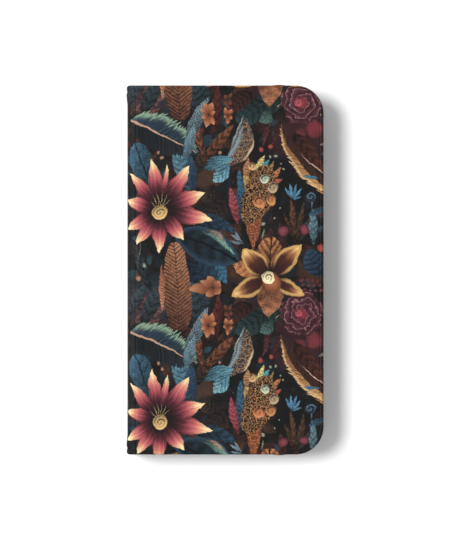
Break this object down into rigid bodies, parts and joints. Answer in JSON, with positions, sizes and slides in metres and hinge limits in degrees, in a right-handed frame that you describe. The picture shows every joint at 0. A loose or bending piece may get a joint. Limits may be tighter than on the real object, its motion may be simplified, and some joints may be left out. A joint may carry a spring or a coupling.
{
  "type": "folio phone case",
  "caption": "Folio phone case: a printed faux-leather cover with a flat spine folds round a snap-in plastic phone tray, with card pockets inside the front cover.",
  "frame": {"origin": "under the middle of the closed case as it lies on its back cover, on the surface it lies on", "axes": "+Y towards the top of the phone, +Z out of the front cover, -X towards the spine"},
  "size_m": [0.084, 0.158, 0.0173],
  "materials": {
    "printed_leather": "matte printed faux leather with a fine grain",
    "lining": "short-napped microfibre suede",
    "board": "grey stiffening board",
    "tray": "moulded polycarbonate, fine satin texture",
    "adhesive": "double-sided foam tape",
    "pocket_leather": "thin plain faux leather",
    "thread": "bonded polyester thread"
  },
  "bodies": {
    "back": {"back_skin": "printed_leather", "back_board": "board", "back_lining": "lining", "back_fold_skin": "printed_leather", "back_fold_lining": "lining", "tray_adhesive": "adhesive", "phone_tray": "tray"},
    "spine": {"spine_skin": "printed_leather", "spine_board": "board", "spine_lining": "lining", "front_fold_skin": "printed_leather", "front_fold_lining": "lining"},
    "front": {"front_skin": "printed_leather", "front_board": "board", "front_lining": "lining", "note_pocket": "pocket_leather", "note_pocket_binding": "pocket_leather", "card_pocket_upper": "pocket_leather", "card_pocket_lower": "pocket_leather", "card_pocket_stitching": "thread", "binding_stitching": "thread"}
  },
  "joints": [
    {"name": "back_fold", "type": "hinge", "parent": "back", "child": "spine", "pos_m": [-0.04095, 0, 0.00065], "axis": [0, -1, 0], "range_deg": [0, 180]},
    {"name": "front_fold", "type": "hinge", "parent": "spine", "child": "front", "pos_m": [-0.04095, 0, 0.01665], "axis": [0, -1, 0], "range_deg": [0, 180]}
  ]
}
